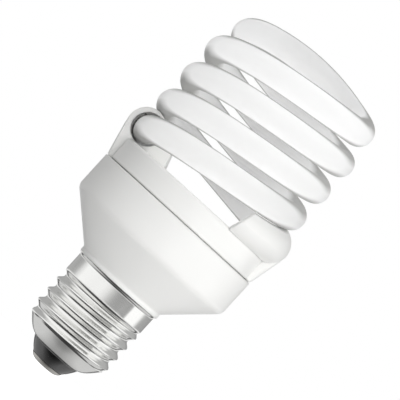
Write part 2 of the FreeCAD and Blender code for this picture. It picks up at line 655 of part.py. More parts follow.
def lying_part(x, y, diameter, length, direction):
    """A body lying under the board, with one bent leg at each end; also gives the legs' spots."""
    z = BOARD_BOTTOM - STAND_OFF - diameter / 2
    reach = length / 2 + LEG_REACH
    ends = [point(x, y, 0) - direction * reach, point(x, y, 0) + direction * reach]
    top = Z_AXIS * (BOARD_TOP + LEG_STUB)
    low = Z_AXIS * z
    wire = bent_wire([ends[0] + top, ends[0] + low, ends[1] + low, ends[1] + top], 0.8)
    body = Part.makeCylinder(diameter / 2, length, point(x, y, z) - direction * (length / 2), direction)
    body = body.makeFillet(diameter * 0.12, [edge for edge in body.Edges if len(edge.Vertexes) == 1])
    return body.fuse(wire), [(end.x, end.y) for end in ends]


def bulk_capacitor():
    """Electrolytic capacitor's can, with its rolled groove and open upper end."""
    radius = CAPACITOR_D / 2
    top = BOARD_BOTTOM - STAND_OFF
    bottom = top - CAPACITOR_LENGTH
    can = revolve([
        (0, bottom), (radius - 0.6, bottom), ((radius - 0.18, bottom + 0.18), (radius, bottom + 0.6)),
        (radius, top - 3.0), ((radius - 0.45, top - 2.4), (radius, top - 1.8)), (radius, top - 0.3),
        ((radius - 0.09, top - 0.09), (radius - 0.3, top)), (radius - 0.8, top), (radius - 0.8, top - 1.6),
        (0, top - 1.6)])
    can.translate(point(CAPACITOR_X, 0, 0))
    return can


def capacitor_bung():
    """Rubber bung in the can's upper end, with the capacitor's two legs."""
    top = BOARD_BOTTOM - STAND_OFF
    bung = Part.makeCylinder(CAPACITOR_D / 2 - 0.8, 1.4, point(CAPACITOR_X, 0, top - 1.6))
    spots = [(CAPACITOR_X - CAPACITOR_PITCH / 2, 0), (CAPACITOR_X + CAPACITOR_PITCH / 2, 0)]
    for x, y in spots:
        bung = bung.fuse(leg(x, y, top - 0.9))
    return bung, spots


def block(width, depth, bottom, top):
    """A block centred on the choke's place."""
    return Part.makeBox(width, depth, top - bottom, point(CHOKE_X - width / 2, -depth / 2, bottom))


def choke():
    """Resonance choke: ferrite core, moulded bobbin with four pins, and copper winding."""
    core_top = BOARD_BOTTOM - CHOKE_CORE_TOP
    window_top = core_top - CHOKE_YOKE
    window_bottom = window_top - CHOKE_WINDOW_H
    window = block(CHOKE_CORE_W - 2 * CHOKE_LEG_W, CHOKE_CORE_D + 2, window_bottom, window_top)
    window = window.cut(block(CHOKE_MIDDLE_W, CHOKE_CORE_D, window_bottom - 1, window_top + 1))
    core = block(CHOKE_CORE_W, CHOKE_CORE_D, window_bottom - CHOKE_YOKE, core_top).cut(window)
    hole = block(CHOKE_MIDDLE_W, CHOKE_CORE_D, window_bottom - 1, window_top + 1)
    tube_w = CHOKE_MIDDLE_W + 2 * BOBBIN_T
    tube_d = CHOKE_CORE_D + 2 * BOBBIN_T
    bobbin = block(tube_w, tube_d, window_bottom, window_top)
    bobbin = bobbin.fuse(block(BOBBIN_W, BOBBIN_D, window_top - BOBBIN_T, window_top))
    bobbin = bobbin.fuse(block(BOBBIN_W, BOBBIN_D, window_bottom, window_bottom + BOBBIN_T))
    feet = block(BOBBIN_W, BOBBIN_D, window_top, BOARD_BOTTOM)
    feet = feet.cut(block(BOBBIN_W + 2, CHOKE_CORE_D + 0.4, window_top - 1, BOARD_BOTTOM + 1))
    bobbin = bobbin.fuse(feet).cut(hole)
    spots = []
    for x in (CHOKE_X - CHOKE_PIN_X, CHOKE_X + CHOKE_PIN_X):
        for y in (-CHOKE_PIN_Y, CHOKE_PIN_Y):
            bobbin = bobbin.fuse(leg(x, y, window_top - BOBBIN_T / 2))
            spots.append((x, y))
    winding = block(BOBBIN_W - 0.8, BOBBIN_D - 0.8, window_bottom + BOBBIN_T, window_top - BOBBIN_T)
    winding = winding.makeFillet(1.2, [edge for edge in winding.Edges
                                       if abs(edge.Vertexes[0].Z - edge.Vertexes[-1].Z) > 1])
    winding = winding.cut(block(tube_w, tube_d, window_bottom - 1, window_top + 1))
    return core, bobbin.removeSplitter(), winding, spots


def ring_centre():
    loop_r = math.hypot((RING_D - RING_HOLE_D) / 4, RING_H / 2) + WIRE_D / 2
    return point(0, BOARD_R - RING_INSET, BOARD_BOTTOM - STAND_OFF - loop_r - WIRE_D / 2), loop_r


def driver_core():
    """Ferrite ring of the driver transformer."""
    centre, loop_r = ring_centre()
    core = ring(RING_D / 2, RING_HOLE_D / 2, centre.z - RING_H / 2, centre.z + RING_H / 2)
    core.translate(point(centre.x, centre.y, 0))
    return core


def driver_windings():
    """Three short windings of coated wire, each with its two ends up through the board."""
    centre, loop_r = ring_centre()
    middle_r = (RING_D + RING_HOLE_D) / 4
    windings = []
    spots = []
    for direction, turns in RING_WINDINGS:
        first = direction - RING_TURN_STEP * (turns + 0.5) / 2
        count = 12 * turns + 6
        points = []
        for i in range(count + 1):
            around = math.radians(first + RING_TURN_STEP * i / 12)
            over = -2 * math.pi * i / 12
            radius = middle_r + loop_r * math.cos(over)
            points.append(centre + point(radius * math.cos(around), radius * math.sin(around),
                                         loop_r * math.sin(over)))
        above = BOARD_BOTTOM
        start = [point(points[0].x, points[0].y, above - step) for step in (0, 1.0, 2.0)]
        end = [point(points[-1].x, points[-1].y, above - step) for step in (2.0, 1.0, 0)]
        wire = sweep_round(smooth_curve(start + points + end), WIRE_D / 2, 4 * turns + 4)
        windings.append(wire)
        spots += [(points[0].x, points[0].y), (points[-1].x, points[-1].y)]
    return windings, spots


def transistor(x, y, facing):
    """Half-round moulded transistor on three legs; the flat faces the given direction."""
    bottom = BOARD_BOTTOM - TRANSISTOR_STAND - TRANSISTOR_H
    body = Part.makeCylinder(TRANSISTOR_D / 2, TRANSISTOR_H, point(0, 0, bottom))
    flat = Part.makeBox(TRANSISTOR_D, TRANSISTOR_D, TRANSISTOR_H,
                        point(-TRANSISTOR_D / 2, TRANSISTOR_FLAT, bottom))
    body = body.cut(flat)
    places = [point(step * TRANSISTOR_PITCH, 0, 0) for step in (-1, 0, 1)]
    for place in places:
        body = body.fuse(leg(place.x, place.y, bottom + TRANSISTOR_H - 0.5))
    body.rotate(ORIGIN, Z_AXIS, facing)
    body.translate(point(x, y, 0))
    turn = math.radians(facing)
    spots = [(x + p.x * math.cos(turn), y + p.x * math.sin(turn)) for p in places]
    return body, spots


def film_capacitor(x, y):
    """Dipped film capacitor: a rounded block on two legs."""
    top = BOARD_BOTTOM - STAND_OFF
    body = Part.makeBox(FILM_W, FILM_D, FILM_H, point(x - FILM_W / 2, y - FILM_D / 2, top - FILM_H))
    body = body.makeFillet(0.8, body.Edges)
    spots = [(x - FILM_PITCH / 2, y), (x + FILM_PITCH / 2, y)]
    for spot in spots:
        body = body.fuse(leg(spot[0], spot[1], top - 1.5))
    return body, spots


def lead_wire(points, spans):
    return sweep_round(smooth_curve(points), WIRE_D / 2, spans)


def contact_lead():
    """Lead from the board down the middle of the cap to the centre contact."""
    x, y = CONTACT_LEAD_SPOT
    points = [point(x, y, BOARD_BOTTOM - 2 * i) for i in range(6)]
    points += [point(x * 0.75, y * 0.75, 31.5), point(x * 0.25, y * 0.25, 26.5)]
    points += [point(0, 0, z) for z in (22.0, 18.0, 14.0, 10.0, 6.0, 3.0, 0.5)]
    return lead_wire(points, 12)


def shell_lead():
    """Lead from the board down the funnel and out through the sleeve's slot to the collar."""
    turn = math.radians(SIDE_LEAD_ANGLE)
    out = point(math.cos(turn), math.sin(turn), 0)
    wall_r = COLLAR_R - CAP_SHEET - WIRE_D / 2
    side_r = BOARD_R - SIDE_LEAD_INSET
    bore_r = NECK_BORE_R - 1.2
    path = [(side_r, BOARD_BOTTOM), (side_r, BOARD_BOTTOM - 2), (side_r - 0.4, HOUSING_CONE_TOP + 0.2),
            (bore_r + (side_r - bore_r) * 0.73, HOUSING_CONE_TOP - 3.3),
            (bore_r + (side_r - bore_r) * 0.33, NECK_TOP + 3.8), (bore_r + 0.3, NECK_TOP + 0.4),
            (bore_r - 0.1, CAP_TOP - 0.4), (bore_r + 0.9, CAP_TOP - 2.1), (wall_r - 0.1, CAP_TOP - 3.1),
            (wall_r, CAP_TOP - 4.4)]
    return lead_wire([out * r + Z_AXIS * z for r, z in path], 10)


def electrode_leads():
    """From each end of the glass, two leads to their wrap pins, wound round them."""
    leads = []
    radius = PIN_W / 2 * math.sqrt(2) + WIRE_D / 2 + 0.01
    for pin, side in zip(PIN_SPOTS, (1, -1)):
        away = point(pin[0] - LEG_FOOT_X, pin[1] - LEG_FOOT_Y, 0).normalize()
        start = point(LEG_FOOT_X, LEG_FOOT_Y, 0) + away * (TUBE_R * 0.55)
        heading = math.atan2(away.y, away.x)
        first = heading - side * math.pi / 2
        z_end = BOARD_TOP + 1.6
        lift = Z_AXIS * (LEG_FOOT - SEAL_HEIGHT)
        points = [start + lift + Z_AXIS * 0.9, start + lift, start + away * 0.9 + lift - Z_AXIS * 0.35]
        for i in range(0, 25):
            angle = first + side * 2 * math.pi * i / 12
            points.append(point(pin[0] + radius * math.cos(angle), pin[1] + radius * math.sin(angle),
                                z_end - 0.15 + 0.75 * i / 12))
        leads.append(lead_wire(points, 12))
    return leads


def circuit_board(spots):
    """Phenolic board with a hole for every leg."""
    board = Part.makeCylinder(BOARD_R, BOARD_T, point(0, 0, BOARD_BOTTOM))
    holes = [Part.makeCylinder(WIRE_HOLE_D / 2, BOARD_T + 2, point(x, y, BOARD_BOTTOM - 1)) for x, y in spots]
    return board.cut(holes)


def wrap_pins():
    """Four square pins that the tube's leads are wound round."""
    pins = [Part.makeBox(PIN_W, PIN_W, BOARD_T + PIN_HEIGHT, point(x - PIN_W / 2, y - PIN_W / 2, BOARD_BOTTOM))
            for x, y in PIN_SPOTS]
    return pins + [half_turn(pin) for pin in pins]


def solder_joints(spots):
    """Tin solder round every leg on the board's upper side."""
    cone = revolve([(WIRE_D / 2, BOARD_TOP), (JOINT_R, BOARD_TOP), (JOINT_R * 0.6, BOARD_TOP + JOINT_H * 0.45),
                    (WIRE_D / 2 + 0.08, BOARD_TOP + JOINT_H), (WIRE_D / 2, BOARD_TOP + JOINT_H)])
    joints = []
    for x, y in spots:
        joint = cone.copy()
        joint.translate(point(x, y, 0))
        joints.append(joint)
    return joints


os.makedirs("parts", exist_ok=True)
glass_tube = spiral_tube()
save(glass_tube, "spiral_tube")
save(tube_holder(), "tube_holder")
cement = tube_cement(glass_tube)
save(cement, "tube_cement_right")
save(half_turn(cement), "tube_cement_left")
save(ballast_housing(), "ballast_housing")

shell = screw_shell()
save(shell, "screw_shell")
save(cap_insulator(shell), "cap_insulator")
save(centre_contact(), "centre_contact")
save(contact_solder(), "contact_solder")

spots = []
bung, found = capacitor_bung()
spots += found
save(bulk_capacitor(), "bulk_capacitor")
save(bung, "capacitor_bung")
core, bobbin, winding, found = choke()
spots += found
save(core, "choke_core")
save(bobbin, "choke_bobbin")
save(winding, "choke_winding")
save(driver_core(), "driver_core")
windings, found = driver_windings()
save(Part.makeCompound(windings), "driver_windings")
for name, angle in zip(("transistor_high", "transistor_low"), TRANSISTOR_ANGLES):
    x, y = board_spot(angle, TRANSISTOR_INSET)
    body, found = transistor(x, y, 0)
    spots += found
    save(body, name)
diodes = []
for x in DIODE_XS:
    body, found = lying_part(x, DIODE_INSET - BOARD_R, DIODE_D, DIODE_LENGTH, Y_AXIS)
    diodes.append(body)
    spots += found
save(Part.makeCompound(diodes), "rectifier_diodes")
resistors = []
for inset in RESISTOR_INSETS:
    body, found = lying_part(BOARD_R - inset, 0, RESISTOR_D, RESISTOR_LENGTH, Y_AXIS)
    resistors.append(body)
    spots += found
save(Part.makeCompound(resistors), "base_resistors")
body, found = lying_part(FUSE_INSET - BOARD_R, 0, FUSE_D, FUSE_LENGTH, Y_AXIS)
spots += found
save(body, "fuse_resistor")
x, y = board_spot(TRIGGER_ANGLE, TRIGGER_INSET)
body, found = lying_part(x, y, TRIGGER_D, TRIGGER_LENGTH, X_AXIS)
spots += found
save(body, "trigger_diode")
for name, angle in (("resonance_capacitor", 180 - FILM_ANGLE), ("coupling_capacitor", FILM_ANGLE)):
    x, y = board_spot(angle, FILM_INSET)
    body, found = film_capacitor(x, y)
    spots += found
    save(body, name)
pins = wrap_pins()
save(Part.makeCompound(pins), "wrap_pins")
board = circuit_board(spots).cut(pins)
save(board, "circuit_board")
save(Part.makeCompound(solder_joints(spots)), "solder_joints")
leads = electrode_leads()
leads = [lead.cut(glass_tube) for lead in leads]
save(Part.makeCompound(leads + [half_turn(lead) for lead in leads]), "electrode_leads")
save(contact_lead(), "contact_lead")
save(shell_lead().cut(shell).cut(board), "shell_lead")
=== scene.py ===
import math
import bpy
from mathutils import Matrix, Vector


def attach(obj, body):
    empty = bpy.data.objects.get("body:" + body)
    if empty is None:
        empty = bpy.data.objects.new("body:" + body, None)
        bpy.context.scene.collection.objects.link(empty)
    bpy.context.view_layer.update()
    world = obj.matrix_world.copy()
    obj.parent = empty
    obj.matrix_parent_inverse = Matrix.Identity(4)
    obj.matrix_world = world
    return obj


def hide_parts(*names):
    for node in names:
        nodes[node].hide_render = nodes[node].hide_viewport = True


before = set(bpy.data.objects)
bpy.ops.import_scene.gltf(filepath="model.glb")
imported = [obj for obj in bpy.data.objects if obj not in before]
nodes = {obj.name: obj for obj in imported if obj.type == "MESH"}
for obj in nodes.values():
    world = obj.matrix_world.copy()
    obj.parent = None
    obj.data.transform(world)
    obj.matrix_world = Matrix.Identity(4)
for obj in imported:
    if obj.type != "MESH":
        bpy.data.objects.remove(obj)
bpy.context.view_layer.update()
MM = 0.001

# Camera: on the side where one hood shows its mouth at the left, a little below the middle of the
# lamp and looking slightly up, and rolled so that the lamp leans to the right across the picture.
CAMERA_DISTANCE = 526 * MM
CAMERA_AIM = Vector((0.94, 0, 59.5)) * MM
CAMERA_PITCH = math.radians(0.85)
CAMERA_ROLL = math.radians(42.37)
SENSOR_WIDTH = 36
FOCAL_LENGTH = 180.8
NEAREST_SEEN = 10 * MM
view_line = Vector((0, math.cos(CAMERA_PITCH), math.sin(CAMERA_PITCH)))
view_up = Vector((0, -math.sin(CAMERA_PITCH), math.cos(CAMERA_PITCH)))
camera_right = Vector((1, 0, 0)) * math.cos(CAMERA_ROLL) + view_up * math.sin(CAMERA_ROLL)
camera_up = view_line.cross(camera_right) * -1
camera_turn = Matrix((camera_right, camera_up, -view_line)).transposed()

camera = bpy.data.objects.new("camera", bpy.data.cameras.new("camera"))
bpy.context.scene.collection.objects.link(camera)
camera.matrix_world = (Matrix.Translation(CAMERA_AIM - view_line * CAMERA_DISTANCE)
                       @ camera_turn.to_4x4())
camera.data.sensor_width = SENSOR_WIDTH
camera.data.lens = FOCAL_LENGTH
camera.data.clip_start = NEAREST_SEEN
bpy.context.scene.camera = camera
bpy.context.scene.view_settings.view_transform = "Standard"


# Discharge tube: one long glass tube, softened in a flame and wound on a grooved mandrel into two
# strands that meet in a straight bridge over the axis. Its wall is clear soda glass and its inside
# carries a white powder coating. Its two ends are drawn thin and melted shut.
TUBE_RADIUS = 3.625
TUBE_SIDES = 40
COIL_RADIUS = 21.7
COIL_PITCH = 18.7
COIL_START_Z = 63.5
COIL_END_ANGLE = 691.2
COIL_STEPS = 240
LEG_LEAVE_ANGLE = 14.0
LEG_FOOT = Vector((15.45, -8.6, 50.5))
LEG_HANDLE = 9.0
LEG_STEPS = 24
BRIDGE_BEND_RADIUS = 7.0
BRIDGE_RISE = 5.55
BRIDGE_POINTS = 30
# A sealed end, as pairs of height from the foot and radius.
SEAL_PROFILE = [(-2.5, 0.35), (-2.4, 0.9), (-1.5, 1.0), (-1.3, 1.2), (-1.2, 2.0), (-0.9, 2.8),
                (-0.5, 3.4)]


def on_coil(degrees):
    """The point of the coil's centre line at an angle round the axis."""
    angle = math.radians(degrees)
    return Vector((COIL_RADIUS * math.cos(angle), COIL_RADIUS * math.sin(angle),
                   COIL_START_Z + COIL_PITCH * degrees / 360))


def coil_heading(degrees):
    """The direction in which the coil runs at an angle round the axis."""
    return (on_coil(degrees + 0.5) - on_coil(degrees - 0.5)).normalized()


def strand_points():
    """Points along one strand, about 1 mm apart: leg, coil, bend and half the bridge."""
    coil_start = on_coil(LEG_LEAVE_ANGLE)
    poles = [LEG_FOOT, LEG_FOOT + Vector((0, 0, LEG_HANDLE)),
             coil_start - coil_heading(LEG_LEAVE_ANGLE) * LEG_HANDLE, coil_start]
    points = []
    for i in range(LEG_STEPS):
        t = i / LEG_STEPS
        points.append(poles[0] * (1 - t) ** 3 + poles[1] * 3 * t * (1 - t) ** 2
                      + poles[2] * 3 * t * t * (1 - t) + poles[3] * t ** 3)
    for i in range(COIL_STEPS):
        points.append(on_coil(LEG_LEAVE_ANGLE + (COIL_END_ANGLE - LEG_LEAVE_ANGLE) * i / COIL_STEPS))

    leave = math.radians(COIL_END_ANGLE)
    centre_radius = COIL_RADIUS - BRIDGE_BEND_RADIUS
    centre = Vector((centre_radius * math.cos(leave), centre_radius * math.sin(leave), 0))
    half_bar = math.sqrt(centre_radius ** 2 - BRIDGE_BEND_RADIUS ** 2)
    turning = math.pi / 2 + math.asin(BRIDGE_BEND_RADIUS / centre_radius)
    bend_length = BRIDGE_BEND_RADIUS * turning
    length = bend_length + half_bar
    bend_end_direction = Vector((math.cos(leave + turning), math.sin(leave + turning), 0))
    bend_end = centre + bend_end_direction * BRIDGE_BEND_RADIUS
    coil_climb = coil_heading(COIL_END_ANGLE).z * length
    for i in range(BRIDGE_POINTS):
        share = i / (BRIDGE_POINTS - 1)
        run = length * share
        if run < bend_length:
            angle = leave + run / BRIDGE_BEND_RADIUS
            point = centre + Vector((math.cos(angle), math.sin(angle), 0)) * BRIDGE_BEND_RADIUS
        else:
            point = bend_end * (1 - (run - bend_length) / half_bar)
        # The climb starts at the coil's own slope and is level where the strands meet.
        rise = (coil_climb * share * (1 - share) ** 2
                + BRIDGE_RISE * share ** 1.5 * (2.5 - 1.5 * share))
        points.append(Vector((point.x, point.y, on_coil(COIL_END_ANGLE).z + rise)))
    return points


def half_turn_back(points):
    """The points turned half round the axis, from the last to the first."""
    return [Vector((-point.x, -point.y, point.z)) for point in reversed(points)]


def mesh_object(name, points, faces, smooth=True):
    """A mesh from points in millimetres."""
    mesh = bpy.data.meshes.new(name)
    mesh.from_pydata([point * MM for point in points], [], faces)
    mesh.polygons.foreach_set("use_smooth", [smooth] * len(mesh.polygons))
    thing = bpy.data.objects.new(name, mesh)
    bpy.context.scene.collection.objects.link(thing)
    return thing


def swept_tube(name, path, radii, sides):
    """A tube along a path in millimetres, closed at both ends; radii has one for each point."""
    heading = (path[1] - path[0]).normalized()
    outward = heading.orthogonal().normalized()
    points = []
    for i, centre in enumerate(path):
        ahead = path[min(i + 1, len(path) - 1)]
        behind = path[max(i - 1, 0)]
        heading = (ahead - behind).normalized()
        outward = (outward - heading * outward.dot(heading)).normalized()
        across = heading.cross(outward)
        for j in range(sides):
            angle = 2 * math.pi * j / sides
            points.append(centre + (outward * math.cos(angle) + across * math.sin(angle)) * radii[i])
    faces = []
    for i in range(len(path) - 1):
        ring = i * sides
        next_ring = ring + sides
        for j in range(sides):
            k = (j + 1) % sides
            faces.append((ring + j, ring + k, next_ring + k, next_ring + j))
    faces.append(tuple(reversed(range(sides))))
    faces.append(tuple(range((len(path) - 1) * sides, len(path) * sides)))
    return mesh_object(name, points, faces)


strand = strand_points()
both_strands = strand + half_turn_back(strand[:-1])
sealed_end = [LEG_FOOT + Vector((0, 0, height)) for height, radius in SEAL_PROFILE]
end_radii = [radius for height, radius in SEAL_PROFILE]
tube_radii = end_radii + [TUBE_RADIUS] * len(both_strands) + end_radii[::-1]
glass_tube = swept_tube("glass_tube", sealed_end + both_strands + half_turn_back(sealed_end),
                        tube_radii, TUBE_SIDES)


def colour(code):
    """An sRGB hex colour as linear red, green, blue and alpha."""
    values = [int(code[i:i + 2], 16) / 255 for i in (1, 3, 5)]
    return tuple(v / 12.92 if v <= 0.04045 else ((v + 0.055) / 1.055) ** 2.4 for v in values) + (1,)


def new_material(name):
    """An empty material."""
    material = bpy.data.materials.new(name)
    material.use_nodes = True
    material.node_tree.nodes.clear()
    return material


def add_node(owner, kind, settings=None, links=None):
    """Adds a node; settings are its properties or input values, links its inputs' sources."""
    node = owner.node_tree.nodes.new(kind)
    for name, value in (settings or {}).items():
        if isinstance(name, str) and name in node.bl_rna.properties:
            setattr(node, name, value)
        else:
            node.inputs[name].default_value = value
    for name, source in (links or {}).items():
        owner.node_tree.links.new(source, node.inputs[name])
    return node


def wear(thing, material):
    """Gives every material slot of a piece or node the material."""
    if not thing.data.materials:
        thing.data.materials.append(material)
    for slot in thing.material_slots:
        slot.material = material


# A colour mix has several inputs of one name, so they go by number.
MIX_SHARE, MIX_FIRST, MIX_SECOND, MIX_RESULT = 0, 6, 7, 2

# Soda glass with a powder coating inside: the powder is white, faintly cloudy from how the slurry
# drained, and passes most of the light, so the tube looks lit through. The drawn glass is smooth
# with a slow waviness. A grey is painted on where the wall is seen aslant, as painted shade on the
# tube's outlines, above and below more than at the sides.
CLOUD_SIZE = 14 * MM
WAVE_SIZE = 9 * MM
WAVE_HEIGHT = 0.05 * MM
LIGHT_THROUGH = 0.93
# The slant at which the painted edge shade starts and at which it is full, and how strong it then is.
EDGE_STARTS, EDGE_FULL, EDGE_SHADE_SHARE = 0.58, 0.76, 0.9
# How far the wall faces up or down where it counts as upright and as leaning, and how much of the
# painted edge shade an upright wall keeps.
UPRIGHT, LEANING, UPRIGHT_SHARE = 0.35, 0.8, 0.15
coated_glass = new_material("powder_coated_soda_glass")
coords = add_node(coated_glass, "ShaderNodeTexCoord")
clouds = add_node(coated_glass, "ShaderNodeTexNoise",
                  {"Scale": 1 / CLOUD_SIZE, "Detail": 3.0, "Roughness": 0.55},
                  {"Vector": coords.outputs["Object"]})
powder = add_node(coated_glass, "ShaderNodeMix",
                  {"data_type": "RGBA", MIX_FIRST: colour("#FAFAFA"), MIX_SECOND: colour("#FDFDFD")},
                  {MIX_SHARE: clouds.outputs["Fac"]})
waves = add_node(coated_glass, "ShaderNodeTexNoise", {"Scale": 1 / WAVE_SIZE, "Detail": 1.0},
                 {"Vector": coords.outputs["Object"]})
wavy = add_node(coated_glass, "ShaderNodeBump", {"Strength": 0.12, "Distance": WAVE_HEIGHT},
                {"Height": waves.outputs["Fac"]})
glass = add_node(coated_glass, "ShaderNodeBsdfPrincipled", {"Roughness": 0.06, "IOR": 1.52},
                 {"Base Color": powder.outputs[MIX_RESULT], "Normal": wavy.outputs["Normal"]})
through = add_node(coated_glass, "ShaderNodeBsdfTranslucent",
                   links={"Color": powder.outputs[MIX_RESULT]})
wall = add_node(coated_glass, "ShaderNodeMixShader", {0: LIGHT_THROUGH},
                {1: glass.outputs["BSDF"], 2: through.outputs["BSDF"]})
# Painted shade: a grey diffuse mixed in where the tube is seen aslant, darkening its outlines.
painted_edge_shade = add_node(coated_glass, "ShaderNodeBsdfDiffuse", {"Color": colour("#B0B0AE")})
slant = add_node(coated_glass, "ShaderNodeLayerWeight", {"Blend": 0.5})
aslant = add_node(coated_glass, "ShaderNodeMapRange",
                  {"From Min": EDGE_STARTS, "From Max": EDGE_FULL, "To Max": EDGE_SHADE_SHARE},
                  {"Value": slant.outputs["Facing"]})
surface = add_node(coated_glass, "ShaderNodeNewGeometry")
outside = add_node(coated_glass, "ShaderNodeMath", {"operation": "SUBTRACT", 0: 1.0},
                   {1: surface.outputs["Backfacing"]})
facing = add_node(coated_glass, "ShaderNodeSeparateXYZ", links={0: surface.outputs["Normal"]})
lean = add_node(coated_glass, "ShaderNodeMath", {"operation": "ABSOLUTE"}, {0: facing.outputs["Z"]})
above_or_below = add_node(coated_glass, "ShaderNodeMapRange",
                          {"From Min": UPRIGHT, "From Max": LEANING, "To Min": UPRIGHT_SHARE},
                          {"Value": lean.outputs[0]})
outer_part = add_node(coated_glass, "ShaderNodeMath", {"operation": "MULTIPLY"},
                      {0: above_or_below.outputs["Result"], 1: outside.outputs[0]})
edge_shade_share = add_node(coated_glass, "ShaderNodeMath", {"operation": "MULTIPLY"},
                      {0: aslant.outputs["Result"], 1: outer_part.outputs[0]})
edge_shaded = add_node(coated_glass, "ShaderNodeMixShader",
                 links={0: edge_shade_share.outputs[0], 1: wall.outputs[0], 2: painted_edge_shade.outputs["BSDF"]})
add_node(coated_glass, "ShaderNodeOutputMaterial", links={"Surface": edge_shaded.outputs[0]})
wear(glass_tube, coated_glass)
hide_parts("spiral_tube")
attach(glass_tube, "root")


# Tube holder: one moulding of white PBT with its two hoods, snapped into the ballast housing. The
# steel mould was spark eroded, which leaves an even fine grain, here drawn several times as coarse
# so that it shows, and a soft satin gloss. Edges are a little round. Crevices, the joint and the
# hoods' mouths get painted shade: a near-black mixed into the pigment where they are closed in.
DRIFT_SIZE = 18 * MM
GRAIN_SIZE = 0.35 * MM
GRAIN_HEIGHT = 0.02 * MM
EDGE_ROUND = 0.7 * MM
CREVICE_WIDTH = 2.5 * MM
# The joint with the housing lies below the first height, and the hoods' mouths above the second.
JOINT_BELOW, MOUTHS_ABOVE = 53 * MM, 55 * MM
# Openness at which a crevice gets full painted shade, and at which joint and mouths are clear of it.
CREVICE_SHUT = 0.03
JOINT_OPEN, MOUTH_OPEN = 0.04, 0.55
# The share of the pigment that full painted shade leaves.
JOINT_UNSHADED, MOUTH_UNSHADED = 0.5, 0.0
white_plastic = new_material("moulded_white_pbt")
coords = add_node(white_plastic, "ShaderNodeTexCoord")
drift = add_node(white_plastic, "ShaderNodeTexNoise", {"Scale": 1 / DRIFT_SIZE, "Detail": 2.0},
                 {"Vector": coords.outputs["Object"]})
pigment = add_node(white_plastic, "ShaderNodeMix",
                   {"data_type": "RGBA", MIX_FIRST: colour("#F2F2F0"), MIX_SECOND: colour("#F6F6F4")},
                   {MIX_SHARE: drift.outputs["Fac"]})
openness = add_node(white_plastic, "ShaderNodeAmbientOcclusion",
                    {"samples": 8, "Distance": CREVICE_WIDTH})
surface = add_node(white_plastic, "ShaderNodeNewGeometry")
position = add_node(white_plastic, "ShaderNodeSeparateXYZ", links={0: surface.outputs["Position"]})
open_from = add_node(white_plastic, "ShaderNodeMapRange",
                     {"From Min": JOINT_BELOW, "From Max": MOUTHS_ABOVE,
                      "To Min": JOINT_OPEN, "To Max": MOUTH_OPEN},
                     {"Value": position.outputs["Z"]})
least_unshaded = add_node(white_plastic, "ShaderNodeMapRange",
                       {"From Min": JOINT_BELOW, "From Max": MOUTHS_ABOVE,
                        "To Min": JOINT_UNSHADED, "To Max": MOUTH_UNSHADED},
                       {"Value": position.outputs["Z"]})
unshaded = add_node(white_plastic, "ShaderNodeMapRange", {"From Min": CREVICE_SHUT},
                 {"Value": openness.outputs["AO"], "From Max": open_from.outputs["Result"],
                  "To Min": least_unshaded.outputs["Result"]})
# Painted shade: near-black mixed into the pigment in crevices, the joint and the hoods' mouths.
shaded = add_node(white_plastic, "ShaderNodeMix",
                  {"data_type": "RGBA", MIX_FIRST: colour("#161615")},
                  {MIX_SHARE: unshaded.outputs["Result"], MIX_SECOND: pigment.outputs[MIX_RESULT]})
grain = add_node(white_plastic, "ShaderNodeTexNoise", {"Scale": 1 / GRAIN_SIZE, "Detail": 2.0},
                 {"Vector": coords.outputs["Object"]})
rounded = add_node(white_plastic, "ShaderNodeBevel", {"samples": 4, "Radius": EDGE_ROUND})
grained = add_node(white_plastic, "ShaderNodeBump", {"Strength": 0.15, "Distance": GRAIN_HEIGHT},
                   {"Height": grain.outputs["Fac"], "Normal": rounded.outputs["Normal"]})
satin = add_node(white_plastic, "ShaderNodeMapRange", {"To Min": 0.34, "To Max": 0.44},
                 {"Value": drift.outputs["Fac"]})
plastic = add_node(white_plastic, "ShaderNodeBsdfPrincipled", {"IOR": 1.54},
                   {"Base Color": shaded.outputs[MIX_RESULT], "Roughness": satin.outputs["Result"],
                    "Normal": grained.outputs["Normal"]})
add_node(white_plastic, "ShaderNodeOutputMaterial", links={"Surface": plastic.outputs["BSDF"]})
wear(nodes["tube_holder"], white_plastic)


# Cement round the tube's legs: white silicone, laid in by hand from below the holder's plate and
# left to set, which leaves it lumpy and matt.
LUMP_SIZE = 2.5 * MM
LUMP_HEIGHT = 0.2 * MM
silicone = new_material("white_silicone")
coords = add_node(silicone, "ShaderNodeTexCoord")
lumps = add_node(silicone, "ShaderNodeTexNoise", {"Scale": 1 / LUMP_SIZE, "Detail": 2.0},
                 {"Vector": coords.outputs["Object"]})
lumpy = add_node(silicone, "ShaderNodeBump", {"Strength": 0.6, "Distance": LUMP_HEIGHT},
                 {"Height": lumps.outputs["Fac"]})
rubber = add_node(silicone, "ShaderNodeBsdfPrincipled",
                  {"Base Color": colour("#E9E9E4"), "Roughness": 0.6},
                  {"Normal": lumpy.outputs["Normal"]})
add_node(silicone, "ShaderNodeOutputMaterial", links={"Surface": rubber.outputs["BSDF"]})
for name in ("tube_cement_right", "tube_cement_left"):
    wear(nodes[name], silicone)


# Ballast housing: a funnel moulded from the same white PBT, crimped into the screw cap below.
# It has the holder's grain and gloss, and the same painted shade in its crevices and at the joint.
wear(nodes["ballast_housing"], white_plastic)


